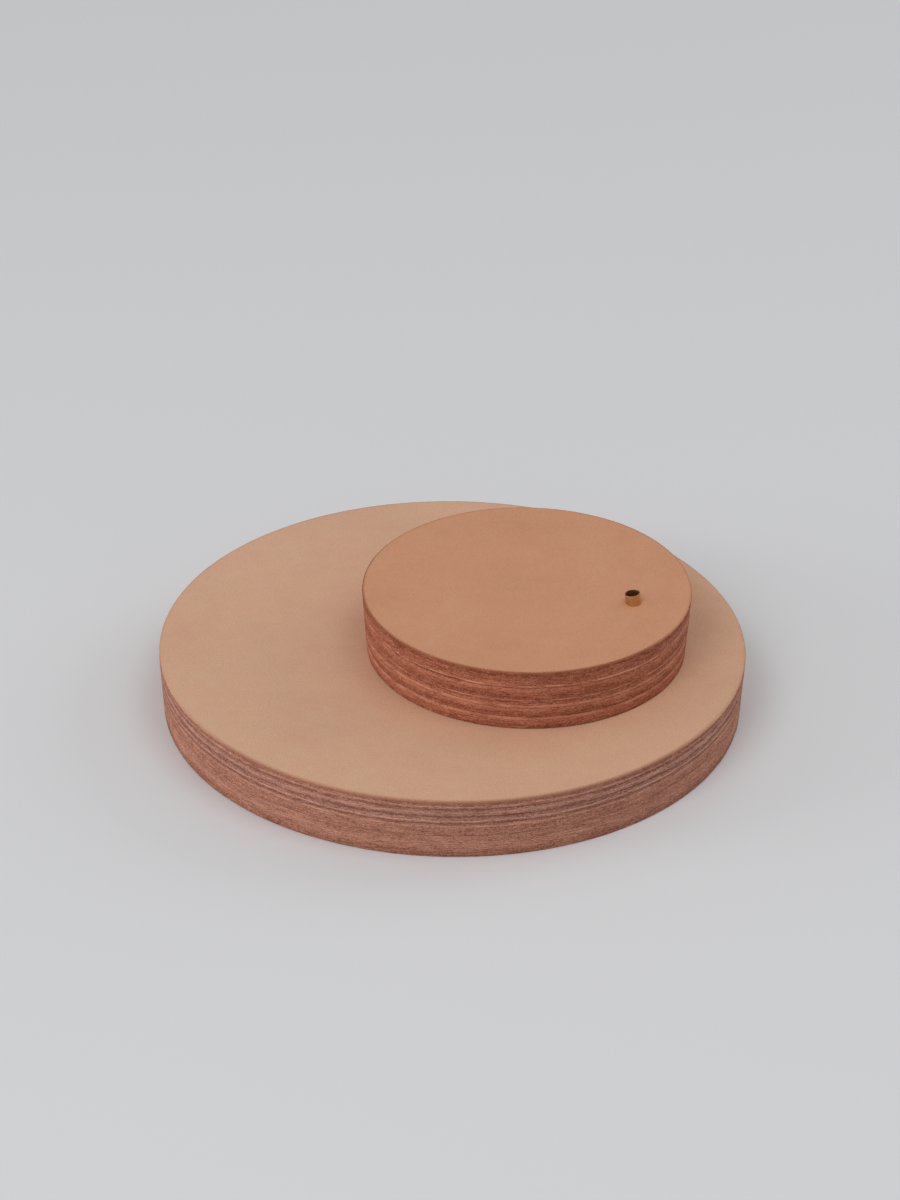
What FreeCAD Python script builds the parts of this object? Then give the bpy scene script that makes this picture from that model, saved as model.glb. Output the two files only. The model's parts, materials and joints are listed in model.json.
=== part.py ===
"""Incense stick holder of laminated leather: a wide ash tray disc, a smaller loose disc that
stands on it off centre, and a thin brass tube that leans inward and grips the stick.

Units are millimetres. The origin is the centre of the tray's underside, and +Z is up."""

import FreeCAD, Part
import Sketcher
import math
import os

PARTS_FOLDER = "parts"

# Leather plies of each disc, from the bottom one up: each is a cut of one hide, so they differ.
BASE_PLIES = [4.1, 2.5, 3.8, 2.1, 2.2, 2.5]
HOLDER_PLIES = [3.7, 2.8, 2.6, 3.6, 5.0]

DIMENSIONS = {
    "base_radius": 80.0,  # the tray disc at its upper face
    "base_foot_radius": 78.9,  # its edge is sanded a little under, so its underside is smaller
    "holder_radius": 44.7,  # the disc that carries the tube, at its upper face
    "holder_foot_radius": 43.4,
    "glue_film": 0.1,  # dried cement between two plies
    "glue_inset": 0.25,  # how far the cement stops short of the sanded edge
    "base_bevel": 0.8,  # the softened upper edge of the tray
    "holder_bevel": 0.5,  # the softened upper edge of the holder
    "sole_bevel": 0.3,  # the broken lower edge of both discs
    "holder_shift_x": 20.0,  # centre of the holder from the centre of the tray
    "holder_shift_y": -0.6,
    "holder_turn": -15.0,  # degrees about +Z, from +X to the line from the centre to the tube
    "tube_offset": 29.65,  # from the holder's centre to the tube's axis at the top face
    "tube_lean": 8.0,  # degrees, towards the holder's centre
    "tube_radius": 2.1,
    "tube_bore": 1.9,  # radius of the hole that takes the stick
    "tube_proud": 3.0,  # what stands out of the leather, along the tube
    "tube_buried": 14.7,  # what is pressed into the leather, along the tube
    "tube_rim": 0.06,  # chamfer on the tube's cut ends
}


def ply_alias(stack, number):
    return f"{stack}_ply_{number}"


def fill_sheet(doc):
    """The driving dimensions, one row each: a name, and a plain number under an alias."""
    sheet = doc.addObject("Spreadsheet::Sheet", "dims")
    rows = dict(DIMENSIONS)
    for stack, plies in (("base", BASE_PLIES), ("holder", HOLDER_PLIES)):
        for number, thickness in enumerate(plies, start=1):
            rows[ply_alias(stack, number)] = thickness
    for row, (alias, value) in enumerate(rows.items(), start=1):
        sheet.set(f"A{row}", alias)
        sheet.set(f"B{row}", str(value))
        sheet.setAlias(f"B{row}", alias)
    doc.recompute()
    return sheet


def cell(alias):
    return f"dims.{alias}"


def stack_height(stack, plies_below, films_below):
    """Expression for the height of a number of plies and films, from the stack's underside."""
    terms = [cell(ply_alias(stack, number)) for number in range(1, plies_below + 1)]
    terms += [f"{films_below} * {cell('glue_film')}"]
    return " + ".join(terms)


def origin_plane(body, role):
    return next(f for f in body.Origin.OriginFeatures if f.Role == role)


def attached_sketch(body, name, role):
    sketch = body.newObject("Sketcher::SketchObject", name)
    sketch.AttachmentSupport = (origin_plane(body, role), [""])
    sketch.MapMode = "FlatFace"
    return sketch


def named_size(sketch, constraint, name, expression):
    """Adds a sketch constraint and binds it to the sheet."""
    index = sketch.addConstraint(constraint)
    sketch.renameConstraint(index, name)
    sketch.setExpression(f"Constraints.{name}", expression)


def sanded_radius(stack, height, inset):
    """Expression for the radius of a disc's sloping edge at a height above its underside."""
    foot = cell(f"{stack}_foot_radius")
    overhang = f"({cell(f'{stack}_radius')} - {foot})"
    return f"{foot} + {overhang} * ({height}) / ({whole_stack(stack)}) - {inset}"


def edge_slope(stack):
    """Expression for how far the disc's edge leans out, in degrees."""
    overhang = f"({cell(f'{stack}_radius')} - {cell(f'{stack}_foot_radius')})"
    return f"atan({overhang} / ({whole_stack(stack)}))"


def padded_disc(body, stack, height, thickness, inset="0"):
    """A round cut of leather or cement, from its underside up. Height is that of its underside
    above the stack's; inset is how far it stops short of the sanded edge."""
    outline = attached_sketch(body, body.Name + "_outline", "XY_Plane")
    first_radius = DIMENSIONS[f"{stack}_radius"]
    origin = FreeCAD.Vector(0, 0, 0)
    up = FreeCAD.Vector(0, 0, 1)
    circle = outline.addGeometry(Part.Circle(origin, up, first_radius))
    outline.addConstraint(Sketcher.Constraint("Coincident", circle, 3, -1, 1))
    radius = sanded_radius(stack, height, inset)
    named_size(outline, Sketcher.Constraint("Radius", circle, first_radius), "radius", radius)
    pad = body.newObject("PartDesign::Pad", body.Name + "_pad")
    pad.Profile = outline
    pad.setExpression("Length", thickness)
    pad.setExpression("TaperAngle", edge_slope(stack))
    outline.Visibility = False
    return pad


def rim_edge(feature, height):
    """Name of the outer circle of a disc at one height."""
    rims = [
        (edge.Curve.Radius, number)
        for number, edge in enumerate(feature.Shape.Edges, start=1)
        if isinstance(edge.Curve, Part.Circle)
        and abs(edge.BoundBox.ZMin - height) < 1e-6
        and abs(edge.BoundBox.ZMax - height) < 1e-6
    ]
    return f"Edge{max(rims)[1]}"


def softened_rim(body, kind, size, height):
    """Breaks the outer edge of the disc at one height; kind is Fillet or Chamfer."""
    base = body.Tip
    feature = body.newObject(f"PartDesign::{kind}", f"{body.Name}_{kind.lower()}")
    feature.Base = (base, [rim_edge(base, height)])
    feature.setExpression("Radius" if kind == "Fillet" else "Size", size)
    base.Visibility = False
    return feature


def tube_hole(body, below_top):
    """Cuts the tube's leaning hole: a rectangle turned about the tube's axis, which crosses the
    holder's top face at the sketch's origin, below_top above the disc's own underside."""
    profile = attached_sketch(body, body.Name + "_hole_profile", "XZ_Plane")
    turned = FreeCAD.Rotation(FreeCAD.Vector(0, 0, 1), DIMENSIONS["tube_lean"])
    profile.AttachmentOffset = FreeCAD.Placement(FreeCAD.Vector(1, 1, 0), turned)
    profile.setExpression("AttachmentOffset.Base.x", cell("tube_offset"))
    profile.setExpression("AttachmentOffset.Base.y", below_top)
    profile.setExpression("AttachmentOffset.Rotation.Angle", cell("tube_lean"))

    radius = DIMENSIONS["tube_radius"]
    top = DIMENSIONS["tube_proud"]
    bottom = -DIMENSIONS["tube_buried"]
    corners = [(0, bottom), (radius, bottom), (radius, top), (0, top)]
    closed_outline(profile, corners)
    profile.addConstraint(Sketcher.Constraint("PointOnObject", 0, 1, -2))
    profile.addConstraint(Sketcher.Constraint("Vertical", 1))
    profile.addConstraint(Sketcher.Constraint("Vertical", 3))
    profile.addConstraint(Sketcher.Constraint("Horizontal", 0))
    profile.addConstraint(Sketcher.Constraint("Horizontal", 2))
    named_size(
        profile, Sketcher.Constraint("DistanceX", 0, 1, 0, 2, radius), "radius", cell("tube_radius")
    )
    named_size(
        profile, Sketcher.Constraint("DistanceY", -1, 1, 2, 2, top), "proud", cell("tube_proud")
    )
    named_size(
        profile, Sketcher.Constraint("DistanceY", 0, 1, -1, 1, -bottom), "buried", cell("tube_buried")
    )
    groove = body.newObject("PartDesign::Groove", body.Name + "_hole")
    groove.Profile = profile
    groove.ReferenceAxis = (profile, ["V_Axis"])
    groove.Angle = 360.0
    profile.Visibility = False
    return groove


def closed_outline(sketch, corners):
    """Line segments through the corners, joined end to start."""
    count = len(corners)
    points = [FreeCAD.Vector(x, y, 0) for x, y in corners]
    for index in range(count):
        sketch.addGeometry(Part.LineSegment(points[index], points[(index + 1) % count]))
    for index in range(count):
        sketch.addConstraint(Sketcher.Constraint("Coincident", index, 2, (index + 1) % count, 1))


def new_body(doc, name):
    body = doc.addObject("PartDesign::Body", name)
    body.Label = name
    return body


def lift_to(body, stack, height):
    """Puts a disc at its height: the tray's on the origin, the holder's shifted and turned."""
    if stack == "base":
        body.setExpression("Placement", f"placement(vector(0; 0; {height}); rotation(0; 0; 0))")
        return
    across = f"{cell('holder_shift_x')}; {cell('holder_shift_y')}"
    level = f"{whole_stack('base')} + {height}"
    turn = f"rotation({cell('holder_turn')}; 0; 0)"
    body.setExpression("Placement", f"placement(vector({across}; {level}); {turn})")


def whole_stack(stack):
    plies = len(BASE_PLIES if stack == "base" else HOLDER_PLIES)
    return stack_height(stack, plies, plies - 1)


def cut_volume_check(doc, body, before):
    """A hole that points the wrong way cuts nothing and raises no error, so compare volumes."""
    doc.recompute()
    if not body.Shape.Volume < before - 1e-3:
        raise RuntimeError(f"the hole misses {body.Label}")


def leather_ply(doc, stack, number):
    plies = BASE_PLIES if stack == "base" else HOLDER_PLIES
    thickness = plies[number - 1]
    height = stack_height(stack, number - 1, number - 1)
    body = new_body(doc, f"{stack}_layer_{number}")
    padded_disc(body, stack, height, cell(ply_alias(stack, number)))
    doc.recompute()
    if number == len(plies):
        softened_rim(body, "Fillet", cell(f"{stack}_bevel"), thickness)
        doc.recompute()
    if number == 1:
        softened_rim(body, "Chamfer", cell("sole_bevel"), 0.0)
        doc.recompute()
    if stack == "holder":
        before = body.Shape.Volume
        tube_hole(body, f"{whole_stack(stack)} - ({height})")
        cut_volume_check(doc, body, before)
    lift_to(body, stack, height)
    return body


def glue_film(doc, stack, number):
    """The cement on top of one ply, which stops just short of the sanded edge."""
    height = stack_height(stack, number, number - 1)
    body = new_body(doc, f"{stack}_glue_{number}")
    padded_disc(body, stack, height, cell("glue_film"), inset=cell("glue_inset"))
    doc.recompute()
    if stack == "holder":
        before = body.Shape.Volume
        tube_hole(body, f"{whole_stack(stack)} - ({height})")
        cut_volume_check(doc, body, before)
    lift_to(body, stack, height)
    return body


def socket_tube(doc):
    """The brass tube, turned about its own axis. Its local origin is where that axis crosses the
    holder's top face, and its local +Z runs out of the mouth."""
    body = new_body(doc, "socket_tube")
    profile = attached_sketch(body, "tube_wall", "XZ_Plane")
    outer = DIMENSIONS["tube_radius"]
    inner = DIMENSIONS["tube_bore"]
    top = DIMENSIONS["tube_proud"]
    bottom = -DIMENSIONS["tube_buried"]
    closed_outline(profile, [(inner, bottom), (outer, bottom), (outer, top), (inner, top)])
    for side, direction in ((0, "Horizontal"), (1, "Vertical"), (2, "Horizontal"), (3, "Vertical")):
        profile.addConstraint(Sketcher.Constraint(direction, side))
    named_size(
        profile, Sketcher.Constraint("DistanceX", -1, 1, 0, 1, inner), "bore", cell("tube_bore")
    )
    named_size(
        profile, Sketcher.Constraint("DistanceX", -1, 1, 0, 2, outer), "radius", cell("tube_radius")
    )
    named_size(
        profile, Sketcher.Constraint("DistanceY", -1, 1, 2, 1, top), "proud", cell("tube_proud")
    )
    named_size(
        profile, Sketcher.Constraint("DistanceY", 0, 1, -1, 1, -bottom), "buried", cell("tube_buried")
    )
    wall = body.newObject("PartDesign::Revolution", "tube_turning")
    wall.Profile = profile
    wall.ReferenceAxis = (profile, ["V_Axis"])
    wall.Angle = 360.0
    profile.Visibility = False
    doc.recompute()

    rims = [
        f"Edge{number}"
        for number, edge in enumerate(wall.Shape.Edges, start=1)
        if isinstance(edge.Curve, Part.Circle) and abs(edge.BoundBox.ZMin - top) < 1e-6
    ]
    chamfer = body.newObject("PartDesign::Chamfer", "tube_chamfer")
    chamfer.Base = (wall, rims)
    chamfer.setExpression("Size", cell("tube_rim"))
    wall.Visibility = False

    turn = cell("holder_turn")
    reach = cell("tube_offset")
    east = f"{cell('holder_shift_x')} + {reach} * cos({turn} * 1deg)"
    north = f"{cell('holder_shift_y')} + {reach} * sin({turn} * 1deg)"
    level = f"{whole_stack('base')} + {whole_stack('holder')}"
    leaning = f"rotation({turn}; -{cell('tube_lean')}; 0)"
    body.setExpression("Placement", f"placement(vector({east}; {north}; {level}); {leaning})")
    return body


def check_document(doc, bodies):
    for item in doc.Objects:
        if "Invalid" in item.State or "Error" in item.State:
            raise RuntimeError(f"{item.Label}: {item.State}")
    for body in bodies:
        if body.Shape.isNull() or not body.Shape.isValid():
            raise RuntimeError(f"{body.Label} has no valid shape")
        if len(body.Shape.Solids) != 1:
            raise RuntimeError(f"{body.Label} is {len(body.Shape.Solids)} solids")


def print_facts(bodies):
    """Where the socket's mouth is, for the interface that takes the stick."""
    tube = next(body for body in bodies if body.Label == "socket_tube")
    outward = tube.Placement.Rotation.multVec(FreeCAD.Vector(0, 0, 1))
    mouth = tube.Placement.multVec(FreeCAD.Vector(0, 0, DIMENSIONS["tube_proud"]))
    wall = DIMENSIONS["tube_proud"] + DIMENSIONS["tube_buried"] - DIMENSIONS["tube_rim"]
    print("socket mouth", [round(v, 4) for v in mouth], "axis", [round(v, 6) for v in outward])
    print("socket wall length", round(wall, 3), "lean", round(math.degrees(math.acos(outward.z)), 3))
    for body in bodies:
        box = body.Shape.optimalBoundingBox(True, False)
        low = [round(v, 3) for v in (box.XMin, box.YMin, box.ZMin)]
        high = [round(v, 3) for v in (box.XMax, box.YMax, box.ZMax)]
        print(body.Label, low, high, round(body.Shape.Volume, 1))


def main():
    doc = FreeCAD.newDocument("incense_holder")
    fill_sheet(doc)
    bodies = []
    for stack, plies in (("base", BASE_PLIES), ("holder", HOLDER_PLIES)):
        for number in range(1, len(plies) + 1):
            bodies.append(leather_ply(doc, stack, number))
        for number in range(1, len(plies)):
            bodies.append(glue_film(doc, stack, number))
    bodies.append(socket_tube(doc))
    doc.recompute()
    check_document(doc, bodies)
    print_facts(bodies)
    os.makedirs(PARTS_FOLDER, exist_ok=True)
    for body in bodies:
        body.Shape.exportStep(os.path.join(PARTS_FOLDER, body.Label + ".step"))


main()
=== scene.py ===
"""Looks of the laminated leather incense holder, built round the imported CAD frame. Metres.

Every leather ply gets a dense mesh with a sanded, fibrous edge, every glue film a ragged edge of
its own, and the brass tube a turned profile with a rounded mouth. All of them take their places
and sizes from the CAD nodes that they replace."""

import json
import math

import bpy
import numpy as np
from mathutils import Matrix, Vector, noise


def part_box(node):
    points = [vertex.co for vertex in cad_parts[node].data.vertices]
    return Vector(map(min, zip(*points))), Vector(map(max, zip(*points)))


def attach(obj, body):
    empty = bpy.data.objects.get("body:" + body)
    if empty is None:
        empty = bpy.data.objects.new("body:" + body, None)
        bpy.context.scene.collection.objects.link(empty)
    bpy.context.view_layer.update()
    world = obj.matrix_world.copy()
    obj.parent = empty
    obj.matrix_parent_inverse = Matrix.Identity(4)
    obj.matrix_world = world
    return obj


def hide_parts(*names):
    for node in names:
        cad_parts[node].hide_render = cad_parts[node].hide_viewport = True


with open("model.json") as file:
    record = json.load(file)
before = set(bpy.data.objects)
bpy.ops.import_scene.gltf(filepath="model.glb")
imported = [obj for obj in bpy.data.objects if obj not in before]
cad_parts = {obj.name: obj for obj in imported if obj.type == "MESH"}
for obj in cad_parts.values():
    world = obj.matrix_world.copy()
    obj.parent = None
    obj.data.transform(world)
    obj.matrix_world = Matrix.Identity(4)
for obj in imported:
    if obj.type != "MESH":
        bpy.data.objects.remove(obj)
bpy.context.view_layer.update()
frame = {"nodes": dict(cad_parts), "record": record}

MM = 0.001

RIM_ROW = 0.16 * MM  # height of a row of faces on a sanded edge
GROOVE_DEPTH = 0.1 * MM  # where two plies meet
GROOVE_WIDTH = 0.15 * MM
CRACK_DEPTH = 1.4 * MM  # where a joint has opened
FIBRE_DEPTH = 0.06 * MM
PIT_DEPTH = 0.2 * MM
SOLE_BEVEL = 0.3 * MM  # the broken lower edge of each disc
JOINT_BEVEL = 0.05 * MM
FILM_RAGGED = 0.1 * MM  # how far a film's edge strays in and out
FILM_BULGE = 0.03 * MM
BEVEL_ROWS = 4  # rows of faces across a bevel
BURNISH_WIDTH = 0.4 * MM  # how far the burnishing reaches past the bevel over the top face
LINE_WIDTH = 0.22 * MM  # from the middle of a pale line on an edge to where it has faded
TOP_SPACING = 2 * MM  # between the rings that fill a stack's top face
FLAT_SPACING = 6 * MM  # between the rings that fill every other face
TOP_LUMPS = 0.06 * MM  # how far the top face dips from place to place
TRAY_SEGMENTS = 1536
HOLDER_SEGMENTS = 1024

TUBE_SEGMENTS = 96
TUBE_WALL_ROWS = 60  # rows of faces along the tube's outer and inner walls
TUBE_MOUTH_ROWS = 12  # rows of faces round its mouth
MOUTH_HEIGHT = 0.09 * MM  # how far down the mouth's rounding starts
TUBE_DENTS = 0.006 * MM  # how far its wall strays from round

# Joints that have opened at the rim: the film, and the range of azimuths in degrees.
OPEN_JOINTS = {"holder_glue_4": (-162.0, -108.0)}


# ---------------------------------------------------------------- sizes read from the frame

def node_names(stem):
    """The CAD nodes of one kind, bottom up."""
    return sorted(name for name in frame["nodes"] if name.startswith(stem))


class Disc:
    """The place and size of a round CAD node."""

    def __init__(self, node):
        low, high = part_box(node)
        self.centre = (low + high) / 2
        self.radius = (high.x - low.x + high.y - low.y) / 4
        self.low = low.z
        self.high = high.z


class Stack:
    """The plies and films of one body, bottom up, and the slope of their sanded edge."""

    def __init__(self, stem):
        self.plies = node_names(stem + "_layer_")
        self.films = node_names(stem + "_glue_")
        self.foot = Disc(self.plies[0])
        below_top = Disc(self.plies[-2])
        self.slope = (below_top.radius - self.foot.radius) / (below_top.high - self.foot.high)

    def radius_at(self, height):
        return self.foot.radius + self.slope * (height - self.foot.high)


def mount(name):
    """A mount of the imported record."""
    return next(m for m in frame["record"]["mounts"] if m["name"] == name)


SOCKET = mount("stick_socket")
TUBE_AXIS = Vector(SOCKET["axis"]).normalized()
TUBE_BORE = SOCKET["dims"]["r_mm"] * MM
TUBE_MIDDLE = Vector(SOCKET["pos_m"])
TUBE_RADIUS = max((vertex.co - TUBE_MIDDLE).cross(TUBE_AXIS).length
                  for vertex in frame["nodes"]["socket_tube"].data.vertices)


# ---------------------------------------------------------------- noise fields

SEED_STEP = 7.31  # how far apart two seeds read the same noise


def field(points, size, seed):
    """Smooth noise from -1 to 1 at each point; size is the feature size along x, y and z."""
    size = np.broadcast_to(np.asarray(size, float), 3)
    spots = np.asarray(points) / size + seed * SEED_STEP
    return np.array([noise.noise(spot) for spot in spots])


def fractal(points, size, seed, octaves):
    """Noise with finer detail added, roughly from -1 to 1."""
    size = np.broadcast_to(np.asarray(size, float), 3)
    spots = np.asarray(points) / size + seed * SEED_STEP
    return np.array([noise.fractal(Vector(spot), 0.9, 2.1, octaves) for spot in spots])


# ---------------------------------------------------------------- ring meshes

def circle(radii, heights, count):
    """Points round the Z axis; radii and heights are numbers or one value per point."""
    angles = np.arange(count) * (2 * math.pi / count)
    return np.stack([radii * np.cos(angles), radii * np.sin(angles), np.zeros(count) + heights], axis=1)


class RingMesh:
    """A closed surface made of rings of vertices about one centre."""

    def __init__(self, centre):
        self.centre = np.array(centre)
        self.points = []
        self.faces = []
        self.slots = []
        self.size = 0

    def ring(self, radii, heights, count):
        """Adds one ring; radii and heights are numbers or one value per vertex."""
        self.points.append(circle(radii, heights, count) + (self.centre[0], self.centre[1], 0.0))
        start = self.size
        self.size += count
        return start, count

    def wall(self, lower, upper, slot, flip=False):
        """Joins two rings; upper may have half as many vertices as lower."""
        start_a, count_a = lower
        start_b, count_b = upper
        step = count_a // count_b
        for i in range(count_b):
            a = [start_a + (i * step + k) % count_a for k in range(step + 1)]
            b = [start_b + i, start_b + (i + 1) % count_b]
            if step == 1:
                new = [(a[0], a[1], b[1], b[0])]
            else:
                new = [(a[0], a[1], b[0]), (a[1], b[1], b[0]), (a[1], a[2], b[1])]
            for face in new:
                self.faces.append(face[::-1] if flip else face)
                self.slots.append(slot)

    def close(self, ring, height, slot, flip=False):
        """Fans a ring to a point at the centre."""
        start, count = ring
        self.points.append(np.array([[self.centre[0], self.centre[1], height]]))
        tip = self.size
        self.size += 1
        for i in range(count):
            face = (start + i, start + (i + 1) % count, tip)
            self.faces.append(face[::-1] if flip else face)
            self.slots.append(slot)

    def cap(self, outer, radius, height_at, slot, spacing, flip=False):
        """Fills a ring inward, with fewer vertices as the rings get smaller."""
        ring = outer
        gap = spacing / 8
        while radius > 2.5 * spacing:
            gap = min(gap * 1.4, spacing)
            radius -= gap
            count = ring[1]
            if count > 24 and count % 2 == 0 and 2 * math.pi * radius / count < gap * 0.55:
                count //= 2
            spots = circle(radius, 0.0, count) + self.centre
            inner = self.ring(radius, height_at(spots), count)
            self.wall(ring, inner, slot, flip)
            ring = inner
        middle = height_at(self.centre[None, :])
        self.close(ring, float(np.asarray(middle).reshape(-1)[0]), slot, flip)

    def object(self, name, materials):
        mesh = bpy.data.meshes.new(name)
        mesh.from_pydata(np.concatenate(self.points).tolist(), [], self.faces)
        for material in materials:
            mesh.materials.append(material)
        mesh.polygons.foreach_set("material_index", self.slots)
        mesh.polygons.foreach_set("use_smooth", [True] * len(self.faces))
        mesh.update()
        piece = bpy.data.objects.new(name, mesh)
        bpy.context.scene.collection.objects.link(piece)
        return piece


# ---------------------------------------------------------------- shader helpers

class Shader:
    """A Principled material and short ways to add nodes to it."""

    def __init__(self, name):
        self.material = bpy.data.materials.new(name)
        self.material.use_nodes = True
        self.tree = self.material.node_tree
        self.principled = next(n for n in self.tree.nodes if n.type == "BSDF_PRINCIPLED")
        self.place = self.node("ShaderNodeTexCoord").outputs["Object"]

    def node(self, kind, **settings):
        made = self.tree.nodes.new(kind)
        for key, value in settings.items():
            setattr(made, key, value)
        return made

    def feed(self, socket, value):
        """Links an output, or sets a plain value."""
        if isinstance(value, bpy.types.NodeSocket):
            self.tree.links.new(value, socket)
        else:
            socket.default_value = value

    def add(self, *values):
        """The sum of any number of sockets and numbers."""
        total = values[0]
        for value in values[1:]:
            total = self.math("ADD", total, value)
        return total

    def math(self, operation, *values):
        made = self.node("ShaderNodeMath", operation=operation)
        for socket, value in zip(made.inputs, values):
            self.feed(socket, value)
        return made.outputs[0]

    def clouds(self, size, detail=2.0, rough=0.5, stretch=(1.0, 1.0, 1.0), offset=0.0):
        """Noise from 0 to 1 about 0.5; size is the feature size, stretch lengthens it per axis."""
        mapping = self.node("ShaderNodeMapping")
        self.feed(mapping.inputs["Vector"], self.place)
        mapping.inputs["Location"].default_value = (offset, offset * 0.7, offset * 1.3)
        mapping.inputs["Scale"].default_value = tuple(1.0 / (size * s) for s in stretch)
        made = self.node("ShaderNodeTexNoise")
        self.feed(made.inputs["Vector"], mapping.outputs[0])
        made.inputs["Scale"].default_value = 1.0
        made.inputs["Detail"].default_value = detail
        made.inputs["Roughness"].default_value = rough
        return made.outputs["Fac"]

    def remap(self, value, low, high, new_low, new_high):
        made = self.node("ShaderNodeMapRange")
        for socket, number in zip(made.inputs, (value, low, high, new_low, new_high)):
            self.feed(socket, number)
        return made.outputs[0]

    def spread(self, value, new_low, new_high):
        """Stretches a noise over a range; nearly all of it lies between 0.3 and 0.7."""
        return self.remap(value, 0.3, 0.7, new_low, new_high)

    def mix(self, factor, one, two, blend="MIX"):
        made = self.node("ShaderNodeMix", data_type="RGBA", blend_type=blend)
        self.feed(made.inputs[0], factor)
        self.feed(made.inputs[6], one)
        self.feed(made.inputs[7], two)
        return made.outputs[2]

    def ramp(self, factor, stops):
        """Colour ramp through (position, shade) stops, as a grey value."""
        made = self.node("ShaderNodeValToRGB")
        self.feed(made.inputs[0], factor)
        elements = made.color_ramp.elements
        while len(elements) < len(stops):
            elements.new(0.5)
        for element, (position, shade) in zip(elements, stops):
            element.position = position
            element.color = (shade, shade, shade, 1.0)
        return made.outputs["Color"]

    def stripe(self, level, height, half_width):
        """1 at one height, fading to 0 a little above and below it."""
        away = self.math("ABSOLUTE", self.math("SUBTRACT", level, height))
        return self.remap(away, 0.0, half_width, 1.0, 0.0)

    def height(self):
        split = self.node("ShaderNodeSeparateXYZ")
        self.feed(split.inputs[0], self.place)
        return split.outputs["Z"]

    def distance_from(self, centre):
        """How far a point is from the upright line through a centre."""
        flat = self.node("ShaderNodeVectorMath", operation="MULTIPLY_ADD")
        self.feed(flat.inputs[0], self.place)
        flat.inputs[1].default_value = (1.0, 1.0, 0.0)
        flat.inputs[2].default_value = (-centre.x, -centre.y, 0.0)
        length = self.node("ShaderNodeVectorMath", operation="LENGTH")
        self.feed(length.inputs[0], flat.outputs[0])
        return length.outputs["Value"]

    def towards_x(self, disc):
        """1 at the disc's edge on the +X side, 0 in line with its centre, -1 on the -X side."""
        split = self.node("ShaderNodeSeparateXYZ")
        self.feed(split.inputs[0], self.place)
        return self.remap(split.outputs["X"], disc.centre.x - disc.radius, disc.centre.x + disc.radius,
                          -1.0, 1.0)

    def bump(self, height, distance, strength=1.0, after=None):
        made = self.node("ShaderNodeBump")
        made.inputs["Distance"].default_value = distance
        made.inputs["Strength"].default_value = strength
        self.feed(made.inputs["Height"], height)
        if after is not None:
            self.feed(made.inputs["Normal"], after)
        return made.outputs[0]

    def finish(self, colour, roughness, normal=None, **constants):
        self.feed(self.principled.inputs["Base Color"], colour)
        self.feed(self.principled.inputs["Roughness"], roughness)
        if normal is not None:
            self.feed(self.principled.inputs["Normal"], normal)
        for name, value in constants.items():
            self.principled.inputs[name.replace("_", " ")].default_value = value
        return self.material


def linear(red, green, blue):
    """A colour given as it looks, from 0 to 255, turned to the shader's linear values."""
    def channel(value):
        value /= 255
        return value / 12.92 if value <= 0.04045 else ((value + 0.055) / 1.055) ** 2.4
    return channel(red), channel(green), channel(blue), 1.0


# ---------------------------------------------------------------- leather

# How each ply's edge goes from its lower side to its upper side: (share of the thickness, shade),
# where shade 0 is the darkest fibre and 1 the palest.
TRAY_EDGES = [
    [(0.0, 0.28), (0.33, 0.3), (0.5, 0.4), (0.65, 0.56), (0.85, 0.57), (1.0, 0.66)],
    [(0.0, 0.7), (0.15, 0.63), (0.4, 0.48), (0.8, 0.55), (1.0, 0.43)],
    [(0.0, 0.33), (0.2, 0.52), (0.35, 0.43), (0.6, 0.46), (0.78, 0.62), (1.0, 0.26)],
    [(0.0, 0.2), (0.24, 0.42), (0.43, 0.65), (0.6, 0.39), (0.8, 0.36), (1.0, 0.21)],
    [(0.0, 0.18), (0.13, 0.28), (0.3, 0.54), (0.48, 0.62), (0.8, 0.43), (1.0, 0.31)],
    [(0.0, 0.2), (0.12, 0.3), (0.28, 0.54), (0.4, 0.5), (0.6, 0.26), (0.8, 0.22), (1.0, 0.42)],
]
HOLDER_EDGES = [
    [(0.0, 0.28), (0.2, 0.34), (0.4, 0.48), (0.65, 0.57), (0.8, 0.7), (0.9, 0.78), (1.0, 0.6)],
    [(0.0, 0.36), (0.2, 0.31), (0.5, 0.34), (0.68, 0.54), (0.82, 0.74), (1.0, 0.66)],
    [(0.0, 0.64), (0.2, 0.8), (0.4, 0.58), (0.7, 0.38), (0.85, 0.27), (1.0, 0.6)],
    [(0.0, 0.5), (0.19, 0.26), (0.45, 0.36), (0.64, 0.47), (0.8, 0.71), (1.0, 0.63)],
    [(0.0, 0.66), (0.1, 0.74), (0.22, 0.52), (0.36, 0.42), (0.62, 0.44), (0.82, 0.14), (1.0, 0.38)],
]

# Thin pale lines on some edges: (share of the thickness, strength).
PALE_LINES = {
    "base_layer_1": [(0.97, 0.25)],
    "base_layer_3": [(0.8, 0.4)],
    "base_layer_4": [(0.36, 0.5)],
    "base_layer_5": [(0.6, 0.35)],
    "base_layer_6": [(0.33, 0.3)],
    "holder_layer_1": [(0.98, 0.4), (0.86, 0.5)],
    "holder_layer_3": [(0.97, 0.55), (0.25, 0.6), (0.08, 0.5)],
    "holder_layer_5": [(0.12, 0.85)],
}

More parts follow.
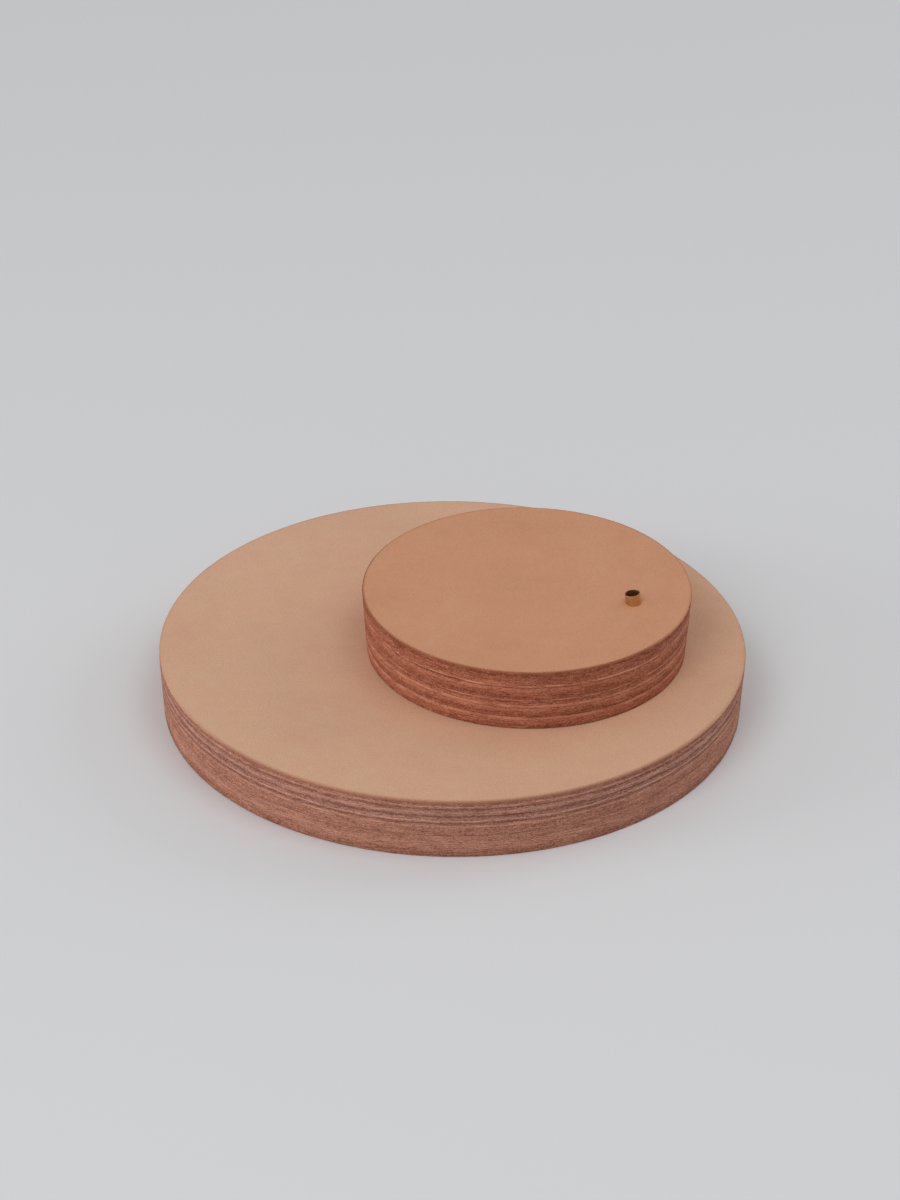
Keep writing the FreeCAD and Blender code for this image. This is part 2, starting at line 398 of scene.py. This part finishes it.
# The paler and deeper tone of the smooth side, and the burnished tone of its softened edge,
# which fades towards +X, or at both ends of the X axis. That fading is painted light: the edge
# is painted paler on the side where light falls on it, and at the tray's two ends where it takes a
# sheen.
TRAY_GRAIN = {"light": linear(226, 181, 150), "deep": linear(210, 164, 133),
              "burnished": linear(165, 112, 87), "painted_light_at_both_ends": True}
HOLDER_GRAIN = {"light": linear(217, 158, 122), "deep": linear(202, 142, 106),
                "burnished": linear(151, 91, 62), "painted_light_at_both_ends": False}
PAINTED_LIGHT_FADE = (0.7, 0.93)  # share of the radius along X where the fade into painted light starts and ends
BURNISH_LEFT_IN_PAINTED_LIGHT = 0.35  # how much of the burnishing is left past that, under the painted light
ROSY_TINT = (1.0, 0.975, 0.985, 1.0)  # how far the smooth side's hue strays from place to place
TAN_TINT = (1.0, 1.025, 1.015, 1.0)
TRAY_FIBRE = (linear(131, 78, 62), linear(210, 151, 126))
TRAY_LINE = linear(240, 190, 164)
HOLDER_FIBRE = (linear(128, 65, 42), linear(199, 129, 101))
HOLDER_LINE = linear(238, 178, 148)
ROSY_FIBRE = (linear(128, 78, 63), linear(210, 155, 135))
ROSY_PLIES = ["base_layer_4", "base_layer_5"]


def grain_colour(shader, tones, disc, bevel):
    """Natural tan with faint clouds, pores and drifts of hue, burnished darker over the softened
    edge, with painted light paling that burnishing towards +X, or towards both X ends on the tray;
    returns the colour, the mottle and the pores."""
    clouds = shader.clouds(28 * MM, detail=3.0, rough=0.55)
    mottle = shader.clouds(4 * MM, detail=3.0, rough=0.6, offset=5.0)
    pores = shader.clouds(0.45 * MM, detail=2.0, rough=0.6, offset=2.0)
    amount = shader.add(shader.spread(clouds, 0.33, 0.67),
                        shader.spread(mottle, -0.1, 0.1),
                        shader.spread(pores, -0.48, 0.48))
    colour = shader.mix(amount, tones["light"], tones["deep"])
    blush = shader.clouds(9 * MM, detail=3.0, offset=9.0)
    tint = shader.mix(shader.spread(blush, 0.0, 1.0), ROSY_TINT, TAN_TINT)
    colour = shader.mix(1.0, colour, tint, blend="MULTIPLY")
    ragged = shader.spread(pores, -0.1 * MM, 0.1 * MM)
    reach = shader.add(shader.distance_from(disc.centre), ragged)
    margin = shader.remap(reach, disc.radius - bevel - BURNISH_WIDTH, disc.radius - 0.1 * MM, 0.0, 1.0)
    # painted light: the burnishing fades towards +X, or towards both X ends, painting that side of the
    # edge paler as if lit
    side = shader.towards_x(disc)
    if tones["painted_light_at_both_ends"]:
        side = shader.math("ABSOLUTE", side)
    burnish_with_painted_light = shader.math("MULTIPLY", shader.math("POWER", margin, 1.5),
                          shader.remap(side, *PAINTED_LIGHT_FADE, 1.0, BURNISH_LEFT_IN_PAINTED_LIGHT))
    return shader.mix(burnish_with_painted_light, colour, tones["burnished"]), mottle, pores


def grain_material(name, tones, disc, bevel):
    """The smooth side of the hide, which faces up."""
    shader = Shader(name)
    colour, mottle, pores = grain_colour(shader, tones, disc, bevel)
    normal = shader.bump(pores, 0.02 * MM)
    roughness = shader.spread(mottle, 0.52, 0.66)
    return shader.finish(colour, roughness, normal, Specular_IOR_Level=0.35)


def edge_material(node, stops, fibre_tones, line_tone, contrast, grain_tones=None, bevel=0.0):
    """The sanded edge of one ply: bands and thin pale lines along the stack, streaked and
    speckled by its fibres. With grain tones, the smooth side comes over the upper bevel."""
    dark, pale = fibre_tones
    disc = Disc(node)
    shader = Shader(node + "_edge")
    seed = disc.low / MM
    wobble = shader.clouds(10 * MM, detail=3.0, offset=seed)
    tears = shader.clouds(1.3 * MM, detail=2.0, offset=seed + 6)
    even = shader.add(shader.height(), shader.remap(wobble, 0.2, 0.8, -0.2 * MM, 0.2 * MM))
    level = shader.add(even, shader.spread(tears, -0.07 * MM, 0.07 * MM))
    share = shader.remap(level, disc.low, disc.high, 0.0, 1.0)
    band = shader.ramp(share, stops)
    streaks = shader.clouds(0.32 * MM, detail=2.0, rough=0.6, stretch=(2.8, 2.8, 0.7), offset=seed)
    sheets = shader.clouds(0.45 * MM, detail=2.0, rough=0.6, stretch=(10.0, 10.0, 0.8), offset=seed + 11)
    specks = shader.clouds(0.3 * MM, detail=2.0, rough=0.7, offset=seed + 3)
    patches = shader.clouds(15 * MM, detail=2.0, stretch=(1.0, 1.0, 0.2), offset=seed + 8)
    shade = shader.add(band,
                       shader.spread(streaks, -contrast, contrast),
                       shader.spread(sheets, -0.7 * contrast, 0.7 * contrast),
                       shader.spread(specks, -contrast, contrast),
                       shader.spread(patches, -0.1, 0.1))
    colour = shader.mix(shade, dark, pale)
    breaks = shader.clouds(5 * MM, detail=2.0, offset=seed + 14)
    for line_share, strength in PALE_LINES.get(node, []):
        line = shader.stripe(even, disc.low + line_share * (disc.high - disc.low), LINE_WIDTH)
        present = shader.remap(breaks, 0.4, 0.55, 0.1 * strength, strength)
        colour = shader.mix(shader.math("MULTIPLY", line, present), colour, line_tone)
    if grain_tones:
        over_edge, _, _ = grain_colour(shader, grain_tones, disc, bevel)
        ragged = shader.add(shader.height(), shader.spread(streaks, -0.1 * MM, 0.1 * MM),
                            shader.spread(tears, -0.1 * MM, 0.1 * MM))
        share = shader.remap(ragged, disc.high - bevel, disc.high - 0.4 * bevel, 0.0, 1.0)
        colour = shader.mix(share, colour, over_edge)
    normal = shader.bump(specks, 0.08 * MM, strength=0.8)
    normal = shader.bump(streaks, 0.1 * MM, strength=0.6, after=normal)
    return shader.finish(colour, 0.85, normal, Specular_IOR_Level=0.2)


def flesh_material(name, tones):
    """The suede underside of a ply."""
    dark, pale = tones
    shader = Shader(name)
    nap = shader.clouds(0.6 * MM, detail=4.0, rough=0.7)
    patches = shader.clouds(9 * MM, detail=3.0, offset=4.0)
    shade = shader.add(shader.spread(nap, 0.45, 0.85), shader.spread(patches, -0.08, 0.08))
    normal = shader.bump(nap, 0.15 * MM)
    return shader.finish(shader.mix(shade, dark, pale), 0.95, normal, Specular_IOR_Level=0.15)


def rim_heights(disc, lower_bevel, upper_bevel):
    """Heights and set-backs of the rim's rings, close together at the ends of the ply."""
    def arc(bevel, height, sign):
        angles = [k * math.pi / 2 / BEVEL_ROWS for k in range(BEVEL_ROWS + 1)]
        return [(height + sign * bevel * (1 - math.cos(a)), bevel * (1 - math.sin(a))) for a in angles]

    lower = arc(lower_bevel, disc.low, 1)
    upper = arc(upper_bevel, disc.high, -1)
    start = lower[-1][0]
    stop = upper[-1][0]
    count = max(2, round((stop - start) / RIM_ROW))
    middle = [(start + (stop - start) * k / count, 0.0) for k in range(1, count)]
    return lower + middle + upper[::-1]


def crack_depth(film, along):
    """How deep a joint has opened at each spot along it."""
    if film not in OPEN_JOINTS:
        return np.zeros(len(along))
    start, stop = OPEN_JOINTS[film]
    azimuth = np.degrees(np.arctan2(along[:, 1], along[:, 0]))
    inside = np.clip(np.minimum(azimuth - start, stop - azimuth) / 5.0, 0.0, 1.0)
    ragged = np.clip(0.6 + 1.8 * field(along, 6 * MM, Disc(film).low / MM + 9), 0.0, 1.0)
    return CRACK_DEPTH * inside * ragged


def groove_depth(film, along):
    """How far the rim is cut back where two plies meet, at each spot along it."""
    if film is None:
        return np.zeros(len(along))
    seed = Disc(film).low / MM
    depth = GROOVE_DEPTH * np.clip(0.2 + 1.2 * field(along, 9 * MM, seed)
                                   + 0.9 * field(along, 1.8 * MM, seed + 2), 0.0, 1.5)
    return depth + crack_depth(film, along)


def ply_piece(stack, index, segments, bevels, materials, wander, top_spacing, lumps):
    """One leather ply: fibrous rim with grooves where it meets its neighbours, level faces."""
    node = stack.plies[index]
    disc = Disc(node)
    seed = disc.low / MM
    ring_mesh = RingMesh((disc.centre.x, disc.centre.y, 0.0))
    along = circle(disc.radius, 0.0, segments)
    drift = field(along, 22 * MM, seed) * wander
    groove_below = groove_depth(stack.films[index - 1] if index > 0 else None, along)
    groove_above = groove_depth(stack.films[index] if index < len(stack.films) else None, along)
    rings = []
    for height, set_back in rim_heights(disc, *bevels):
        spots = along + (0, 0, height)
        fibre = fractal(spots, (1.1 * MM, 1.1 * MM, 0.28 * MM), seed, 3)
        pits = np.clip(field(spots, (1.6 * MM, 1.6 * MM, 0.4 * MM), seed + 5) - 0.35, 0, 1)
        groove = (groove_below * math.exp(-(height - disc.low) / GROOVE_WIDTH)
                  + groove_above * math.exp(-(disc.high - height) / GROOVE_WIDTH))
        rough = drift + FIBRE_DEPTH * fibre - PIT_DEPTH * pits
        radii = stack.radius_at(height) + rough - groove - set_back
        rings.append(ring_mesh.ring(radii, height, segments))
    for lower, upper in zip(rings, rings[1:]):
        ring_mesh.wall(lower, upper, 1)

    def level_top(spots):
        return disc.high + lumps * np.clip(fractal(spots, 16 * MM, seed + 3, 3), -1.5, 0.0)

    ring_mesh.cap(rings[-1], stack.radius_at(disc.high) - bevels[1], level_top, 0, top_spacing)
    ring_mesh.cap(rings[0], stack.radius_at(disc.low) - bevels[0], lambda spots: disc.low, 2,
                  FLAT_SPACING, flip=True)
    return ring_mesh.object(node + "_leather", materials)


def film_piece(node, segments, material, reach):
    """Dried cement between two plies, squeezed out to a ragged edge; reach is how far it comes
    out past the CAD film on average."""
    disc = Disc(node)
    seed = disc.low / MM
    ring_mesh = RingMesh((disc.centre.x, disc.centre.y, 0.0))
    along = circle(disc.radius, 0.0, segments)
    ragged = reach + fractal(along, 3 * MM, seed, 3) * FILM_RAGGED - crack_depth(node, along)
    middle = (disc.low + disc.high) / 2
    low = ring_mesh.ring(disc.radius + ragged, disc.low, segments)
    mid = ring_mesh.ring(disc.radius + ragged + FILM_BULGE, middle, segments)
    high = ring_mesh.ring(disc.radius + ragged, disc.high, segments)
    ring_mesh.wall(low, mid, 0)
    ring_mesh.wall(mid, high, 0)
    ring_mesh.cap(high, disc.radius, lambda spots: disc.high, 0, FLAT_SPACING)
    ring_mesh.cap(low, disc.radius, lambda spots: disc.low, 0, FLAT_SPACING, flip=True)
    return ring_mesh.object(node + "_cement", [material])


def cement_material():
    """Dried contact cement, brown and lumpy."""
    shader = Shader("dried_cement")
    lumps = shader.clouds(1.2 * MM, detail=3.0)
    colour = shader.mix(lumps, linear(100, 58, 42), linear(140, 88, 66))
    return shader.finish(colour, 0.6, shader.bump(lumps, 0.05 * MM))


# ---------------------------------------------------------------- brass tube

def tube_pose():
    """Turns local +Z to the tube's axis and moves the origin to the middle of its wall."""
    turn = TUBE_AXIS.to_track_quat("Z", "Y").to_matrix().to_4x4()
    return Matrix.Translation(TUBE_MIDDLE) @ turn


def tube_piece(materials):
    """A cut length of tube: outer wall, rounded mouth, inner wall and a squared foot."""
    low, high = tube_ends()
    shoulder = high - MOUTH_HEIGHT
    half_wall = (TUBE_RADIUS - TUBE_BORE) / 2
    crown = TUBE_RADIUS - half_wall
    rows = range(TUBE_WALL_ROWS + 1)
    profile = [(TUBE_RADIUS, low + (shoulder - low) * k / TUBE_WALL_ROWS) for k in rows]
    for k in range(1, TUBE_MOUTH_ROWS):
        angle = k * math.pi / TUBE_MOUTH_ROWS
        profile.append((crown + half_wall * math.cos(angle), shoulder + MOUTH_HEIGHT * math.sin(angle)))
    profile += [(TUBE_BORE, shoulder - (shoulder - low) * k / TUBE_WALL_ROWS) for k in rows]
    ring_mesh = RingMesh((0.0, 0.0, 0.0))
    rings = []
    for radius, height in profile:
        spots = circle(radius, height, TUBE_SEGMENTS)
        dents = TUBE_DENTS * field(spots, 1.5 * MM, 4)
        rings.append(ring_mesh.ring(radius + dents, height, TUBE_SEGMENTS))
    slots = [0] * TUBE_WALL_ROWS + [1] * TUBE_MOUTH_ROWS + [2] * (TUBE_WALL_ROWS + 1)
    for one, two, slot in zip(rings, rings[1:] + rings[:1], slots):
        ring_mesh.wall(one, two, slot)
    piece = ring_mesh.object("socket_tube_brass", materials)
    piece.data.transform(tube_pose())
    return piece


def tube_ends():
    """Lowest and highest point of the tube's wall along its own axis, from its middle."""
    tube = frame["nodes"]["socket_tube"]
    along = [(v.co - TUBE_MIDDLE).dot(TUBE_AXIS) for v in tube.data.vertices]
    return min(along), max(along)


def brass_material(name, light, deep, roughness):
    """Brass with a little tarnish; roughness is its lowest and highest value."""
    shader = Shader(name)
    tarnish = shader.clouds(1.4 * MM, detail=3.0)
    scratches = shader.clouds(0.25 * MM, detail=2.0, stretch=(6.0, 6.0, 1.0), offset=2.0)
    normal = shader.bump(scratches, 0.01 * MM)
    return shader.finish(shader.mix(tarnish, light, deep), shader.spread(scratches, *roughness),
                         normal, Metallic=1.0)


def drill(piece):
    """Cuts the tube's hole through a ply or a film, so that the bore stays open to its foot."""
    low, high = tube_ends()
    cut_slot = min(1, len(piece.data.materials) - 1)
    ring_mesh = RingMesh((0.0, 0.0, 0.0))
    lower = ring_mesh.ring(TUBE_RADIUS, low, TUBE_SEGMENTS)
    upper = ring_mesh.ring(TUBE_RADIUS, high, TUBE_SEGMENTS)
    ring_mesh.wall(lower, upper, cut_slot)
    ring_mesh.close(upper, high, cut_slot)
    ring_mesh.close(lower, low, cut_slot, flip=True)
    cutter = ring_mesh.object("hole_cutter", [])
    cutter.data.transform(tube_pose())
    modifier = piece.modifiers.new("hole", "BOOLEAN")
    modifier.operation = "DIFFERENCE"
    modifier.solver = "EXACT"
    modifier.object = cutter
    depsgraph = bpy.context.evaluated_depsgraph_get()
    cut = bpy.data.meshes.new_from_object(piece.evaluated_get(depsgraph))
    cut.set_sharp_from_angle(angle=math.radians(60))
    piece.modifiers.clear()
    piece.data = cut
    bpy.data.objects.remove(cutter)


# ---------------------------------------------------------------- pieces

def build_stack(stem, segments, edges, tones, contrast, body, slot, top_bevel, wander, squeezed):
    """All the plies and films of one body; wander is how far the rim strays from a circle, and
    squeezed how far the cement comes out past the CAD film."""
    stack = Stack(stem)
    grain, fibre, line = tones
    cement = bpy.data.materials.get("dried_cement") or cement_material()
    smooth = grain_material(slot + "_grain", grain, Disc(stack.plies[-1]), top_bevel)
    suede = flesh_material(slot + "_flesh", fibre)
    for index, (node, stops) in enumerate(zip(stack.plies, edges)):
        is_top = node == stack.plies[-1]
        lower_bevel = SOLE_BEVEL if index == 0 else JOINT_BEVEL
        upper_bevel = top_bevel if is_top else JOINT_BEVEL
        edge = edge_material(node, stops, ROSY_FIBRE if node in ROSY_PLIES else fibre, line, contrast,
                             grain if is_top else None, top_bevel)
        spacing = TOP_SPACING if is_top else FLAT_SPACING
        lumps = TOP_LUMPS if is_top else 0.0
        piece = ply_piece(stack, index, segments, (lower_bevel, upper_bevel), [smooth, edge, suede],
                          wander, spacing, lumps)
        if body == "holder":
            drill(piece)
        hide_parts(node)
        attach(piece, body)
    for node in stack.films:
        piece = film_piece(node, segments // 2, cement, squeezed)
        if body == "holder":
            drill(piece)
        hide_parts(node)
        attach(piece, body)


build_stack("base", TRAY_SEGMENTS, TRAY_EDGES, (TRAY_GRAIN, TRAY_FIBRE, TRAY_LINE), contrast=0.36,
            body="tray", slot="tray_leather", top_bevel=0.8 * MM, wander=0.06 * MM, squeezed=0.0)
build_stack("holder", HOLDER_SEGMENTS, HOLDER_EDGES, (HOLDER_GRAIN, HOLDER_FIBRE, HOLDER_LINE),
            contrast=0.42, body="holder", slot="holder_leather", top_bevel=0.5 * MM,
            wander=0.1 * MM, squeezed=0.13 * MM)
tube = tube_piece([
    brass_material("polished_brass", linear(221, 192, 142), linear(199, 161, 106), (0.16, 0.3)),
    brass_material("cut_brass", linear(190, 158, 130), linear(166, 130, 100), (0.4, 0.55)),
    # darker, browner and rougher brass inside the bore
    brass_material("darker_bore", linear(176, 116, 74), linear(146, 88, 50), (0.55, 0.7)),
])
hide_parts("socket_tube")
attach(tube, "holder")


# ---------------------------------------------------------------- floor, light and camera

FLOOR_COLOUR = (0.78, 0.785, 0.80, 1.0)
FLOOR_HALF = 3.0
FLOOR_HEIGHT = -0.05 * MM  # just under the part's foot, so that the two faces don't coincide
LIGHT_DISTANCE = 2.0
LIGHT_SIZE = 1.1


def plain_floor():
    mesh = bpy.data.meshes.new("floor")
    corners = [(x * FLOOR_HALF, y * FLOOR_HALF, FLOOR_HEIGHT)
               for x, y in ((-1, -1), (1, -1), (1, 1), (-1, 1))]
    mesh.from_pydata(corners, [], [(0, 1, 2, 3)])
    shader = Shader("pale_floor")
    mesh.materials.append(shader.finish(FLOOR_COLOUR, 0.9, Specular_IOR_Level=0.1))
    floor = bpy.data.objects.new("floor", mesh)
    bpy.context.scene.collection.objects.link(floor)


def soft_light(name, azimuth, elevation, power):
    """A white area light that looks at the part; azimuth runs from -Y towards +X, in degrees."""
    light = bpy.data.lights.new(name, "AREA")
    light.shape = "DISK"
    light.size = LIGHT_SIZE
    light.energy = power
    lamp = bpy.data.objects.new(name, light)
    a = math.radians(azimuth)
    e = math.radians(elevation)
    back = Vector((math.sin(a) * math.cos(e), -math.cos(a) * math.cos(e), math.sin(e)))
    lamp.location = back * LIGHT_DISTANCE
    lamp.rotation_mode = "QUATERNION"
    lamp.rotation_quaternion = back.to_track_quat("Z", "Y")
    bpy.context.scene.collection.objects.link(lamp)


def sky(strength):
    """Even white light from all round."""
    world = bpy.data.worlds.new("studio")
    world.use_nodes = True
    background = next(n for n in world.node_tree.nodes if n.type == "BACKGROUND")
    background.inputs["Color"].default_value = (1.0, 1.0, 1.0, 1.0)
    background.inputs["Strength"].default_value = strength
    bpy.context.scene.world = world


def camera(aim, distance, elevation, roll, lens):
    """Looks along +Y and down, a little rolled."""
    data = bpy.data.cameras.new("camera")
    data.lens = lens
    data.sensor_width = 36.0
    data.clip_start = 0.01
    data.clip_end = 20.0
    lens_object = bpy.data.objects.new("camera", data)
    e = math.radians(elevation)
    back = Vector((0.0, -math.cos(e), math.sin(e)))
    lens_object.location = Vector(aim) + back * distance
    lens_object.rotation_mode = "QUATERNION"
    lens_object.rotation_quaternion = (back.to_track_quat("Z", "Y")
                                       @ Matrix.Rotation(math.radians(roll), 3, "Z").to_quaternion())
    bpy.context.scene.collection.objects.link(lens_object)
    bpy.context.scene.camera = lens_object


plain_floor()
sky(strength=0.404)
soft_light("key", azimuth=-30, elevation=45, power=10.0)
soft_light("window", azimuth=-80, elevation=8, power=11.9)
soft_light("ceiling", azimuth=60, elevation=70, power=5.05)
soft_light("far_wall", azimuth=120, elevation=22, power=5.6)
camera(aim=(-0.0008, 0.0533, 0.0), distance=1.285, elevation=30.36, roll=0.58, lens=135.2)
bpy.context.scene.view_settings.view_transform = "Standard"
